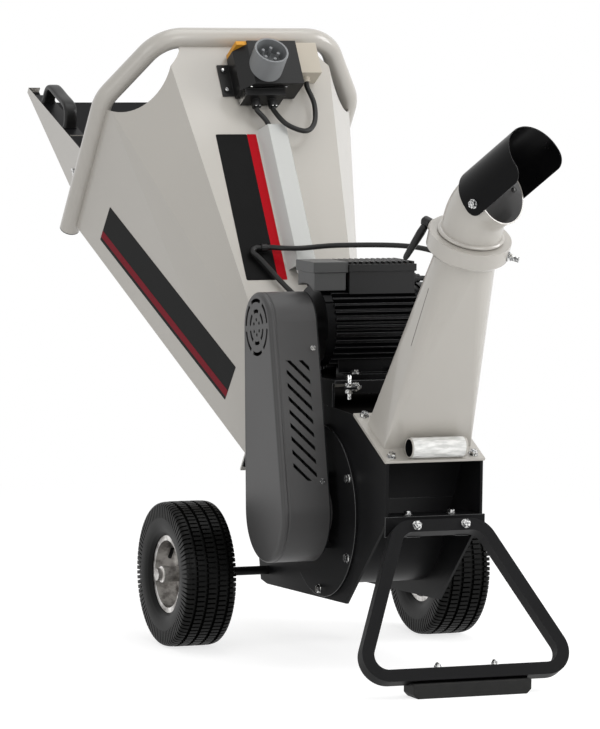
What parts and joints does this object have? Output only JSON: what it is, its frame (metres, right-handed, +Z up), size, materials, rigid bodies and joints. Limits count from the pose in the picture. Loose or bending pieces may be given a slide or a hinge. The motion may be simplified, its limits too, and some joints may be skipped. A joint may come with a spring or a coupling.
{
  "type": "garden shredder",
  "caption": "Wheeled electric garden shredder with a belt-driven knife drum, a wide feed hopper with a folding flap, and a swivelling discharge chute with a tilting deflector.",
  "frame": {"origin": "on the ground under the middle of the machine's length, on its centre plane", "axes": "+Z up, +Y towards the feed end, +X along the axle to the right of someone who faces the feed end from the discharge end"},
  "size_m": [0.776, 2.2372, 1.3935],
  "materials": {
    "grey_paint": "gloss",
    "black_paint": "satin",
    "cover_plastic": "satin",
    "cast_iron": "satin",
    "black_plastic": "satin",
    "box_plastic": "satin",
    "steel": "brushed",
    "zinc": "zinc plated",
    "tyre_rubber": "matt",
    "rubber": "matt",
    "yellow_plastic": "gloss",
    "inlet_plastic": "satin",
    "beige_plastic": "satin",
    "green_plastic": "gloss",
    "red_plastic": "gloss"
  },
  "bodies": {
    "chassis": {"left_side_plate": "black_paint", "right_side_plate": "black_paint", "housing_shell": "black_paint", "left_bearing_plate": "black_paint", "right_bearing_plate": "black_paint", "left_bearing": "cast_iron", "right_bearing": "cast_iron", "housing_bolts": "zinc", "counter_knife": "steel", "axle": "black_paint", "axle_collars": "black_paint", "axle_caps": "zinc", "drive_belts": "rubber", "guard_back": "black_paint", "belt_guard": "cover_plastic", "guard_screws": "zinc", "motor_body": "black_paint", "motor_shields": "cast_iron", "fan_cowl": "black_paint", "terminal_box": "box_plastic", "brake_box": "black_paint", "motor_plate": "black_paint", "tension_bolts": "zinc", "discharge_chute": "grey_paint", "chute_collar": "grey_paint", "flange_tube": "grey_paint", "hopper": "grey_paint", "mouth_frame": "grey_paint", "flap_lugs": "grey_paint", "stand_loop": "black_paint", "stand_bracket": "black_paint", "stand_bolts": "zinc", "foot_block": "black_plastic", "switch_box": "black_plastic", "switch_face": "yellow_plastic", "power_inlet": "inlet_plastic", "side_box": "beige_plastic", "cable_duct": "grey_paint", "cables": "rubber"},
    "left_wheel": {"left_tyre": "tyre_rubber", "left_rim": "steel"},
    "right_wheel": {"right_tyre": "tyre_rubber", "right_rim": "steel"},
    "rotor": {"rotor_shaft": "steel", "rotor_drum": "cast_iron", "rotor_knives": "steel", "rotor_pulley": "cast_iron"},
    "motor_rotor": {"motor_shaft": "steel", "motor_pulley": "cast_iron", "motor_fan": "black_plastic"},
    "elbow": {"elbow": "grey_paint"},
    "deflector": {"deflector": "black_paint", "deflector_bolts": "zinc"},
    "clamp_lever": {"clamp_lever": "black_plastic"},
    "feed_flap": {"flap": "grey_paint", "flap_handle": "black_plastic", "flap_bolts": "zinc"},
    "start_button": {"start_button": "green_plastic"},
    "stop_button": {"stop_button": "red_plastic"}
  },
  "joints": [
    {"name": "left_wheel_spin", "type": "hinge", "parent": "chassis", "child": "left_wheel", "pos_m": [-0.315, -0.05516, 0.165], "axis": [1, 0, 0], "continuous": true},
    {"name": "right_wheel_spin", "type": "hinge", "parent": "chassis", "child": "right_wheel", "pos_m": [0.315, -0.05516, 0.165], "axis": [1, 0, 0], "continuous": true},
    {"name": "rotor_spin", "type": "hinge", "parent": "chassis", "child": "rotor", "pos_m": [0, -0.37516, 0.34], "axis": [1, 0, 0], "continuous": true},
    {"name": "motor_spin", "type": "hinge", "parent": "chassis", "child": "motor_rotor", "pos_m": [0, -0.31916, 0.747], "axis": [1, 0, 0], "continuous": true},
    {"name": "elbow_swivel", "type": "hinge", "parent": "chassis", "child": "elbow", "pos_m": [0, -0.85176, 0.9317], "axis": [0, -0.4446, 0.8957], "continuous": true},
    {"name": "deflector_tilt", "type": "hinge", "parent": "elbow", "child": "deflector", "pos_m": [0.0177, -0.96186, 1.072], "axis": [0.8988, 0.3927, 0.1949], "range_deg": [-1, 55]},
    {"name": "clamp_turn", "type": "hinge", "parent": "chassis", "child": "clamp_lever", "pos_m": [-0.0466, -0.79826, 0.9985], "axis": [-0.515, 0.7678, 0.3811], "range_deg": [-60, 60]},
    {"name": "flap_fold", "type": "hinge", "parent": "chassis", "child": "feed_flap", "pos_m": [0, 0.71884, 1.0266], "axis": [1, 0, 0], "range_deg": [0, 90]},
    {"name": "start_press", "type": "slide", "parent": "chassis", "child": "start_button", "axis": [0, -0.5281, -0.8492], "range_m": [0, 0.003], "stiffness_N_per_m": 400},
    {"name": "stop_press", "type": "slide", "parent": "chassis", "child": "stop_button", "axis": [0, -0.5281, -0.8492], "range_m": [0, 0.003], "stiffness_N_per_m": 400}
  ],
  "couplings": [
    {"joint": "motor_spin", "follows": "rotor_spin", "ratio": 1.5}
  ]
}
